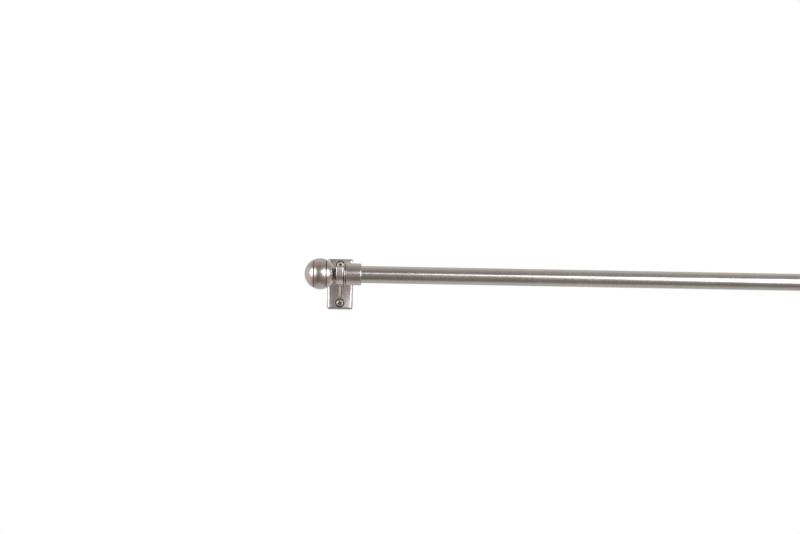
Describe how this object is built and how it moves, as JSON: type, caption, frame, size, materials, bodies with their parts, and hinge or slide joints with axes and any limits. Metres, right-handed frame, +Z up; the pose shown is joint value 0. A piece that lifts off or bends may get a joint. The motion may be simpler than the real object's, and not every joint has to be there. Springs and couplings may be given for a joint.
{
  "type": "curtain rod with brackets",
  "caption": "Telescoping round curtain rod with ball finials, resting in the open cradles of cast wall brackets.",
  "frame": {"origin": "centre of the left bracket's back face, on the wall", "axes": "+X along the rod to the right, +Y into the wall, +Z up"},
  "size_m": [0.7764, 0.097, 0.049],
  "materials": {
    "cast_nickel": "satin nickel plate on a zinc casting",
    "turned_nickel": "satin nickel plate on turned parts",
    "tube_nickel": "satin nickel plate on steel tube",
    "screw_steel": "nickel plated screws and studs",
    "black_steel": "black oxide grub screws",
    "clear_nylon": "natural nylon",
    "plug_plastic": "moulded wall plug"
  },
  "bodies": {
    "left_support": {"bracket_left": "cast_nickel", "wall_screw_left_upper": "screw_steel", "wall_screw_left_lower": "screw_steel", "wall_anchor_left_upper": "plug_plastic", "wall_anchor_left_lower": "plug_plastic"},
    "outer_rod": {"outer_tube": "tube_nickel", "tube_mouth_ring": "clear_nylon", "end_cap_left": "turned_nickel", "set_screw_left": "black_steel"},
    "rod_slider": {"slide_bush": "clear_nylon"},
    "inner_rod": {"inner_tube": "tube_nickel", "reducer_bush": "clear_nylon", "end_cap_right": "turned_nickel", "set_screw_right": "black_steel"},
    "right_support": {"bracket_right": "cast_nickel", "wall_screw_right_upper": "screw_steel", "wall_screw_right_lower": "screw_steel", "wall_anchor_right_upper": "plug_plastic", "wall_anchor_right_lower": "plug_plastic"},
    "left_stud": {"ball_stud_left": "screw_steel"},
    "left_ball": {"ball_left": "turned_nickel"},
    "right_stud": {"ball_stud_right": "screw_steel"},
    "right_ball": {"ball_right": "turned_nickel"}
  },
  "joints": [
    {"name": "rod_lift", "type": "slide", "parent": "left_support", "child": "outer_rod", "axis": [0, 0, 1], "range_m": [0, 0.04]},
    {"name": "rod_extension", "type": "slide", "parent": "outer_rod", "child": "rod_slider", "axis": [1, 0, 0], "range_m": [0, 0.508]},
    {"name": "tube_twist", "type": "hinge", "parent": "rod_slider", "child": "inner_rod", "pos_m": [0.4, -0.055, 0.0101], "axis": [1, 0, 0], "continuous": true},
    {"name": "bracket_right_spacing", "type": "slide", "parent": "left_support", "child": "right_support", "axis": [1, 0, 0], "range_m": [0, 0.508]},
    {"name": "ball_left_travel", "type": "slide", "parent": "outer_rod", "child": "left_stud", "axis": [-1, 0, 0], "range_m": [0, 0.005]},
    {"name": "ball_left_turn", "type": "hinge", "parent": "left_stud", "child": "left_ball", "pos_m": [-0.0182, -0.055, 0.0101], "axis": [-1, 0, 0], "range_deg": [0, 1800]},
    {"name": "ball_right_travel", "type": "slide", "parent": "inner_rod", "child": "right_stud", "axis": [1, 0, 0], "range_m": [0, 0.005]},
    {"name": "ball_right_turn", "type": "hinge", "parent": "right_stud", "child": "right_ball", "pos_m": [0.7292, -0.055, 0.0101], "axis": [1, 0, 0], "range_deg": [0, 1800]}
  ],
  "couplings": [
    {"joint": "bracket_right_spacing", "follows": "rod_extension", "ratio": 1},
    {"joint": "ball_left_turn", "follows": "ball_left_travel", "rad_per_m": 6283.2},
    {"joint": "ball_right_turn", "follows": "ball_right_travel", "rad_per_m": 6283.2}
  ]
}
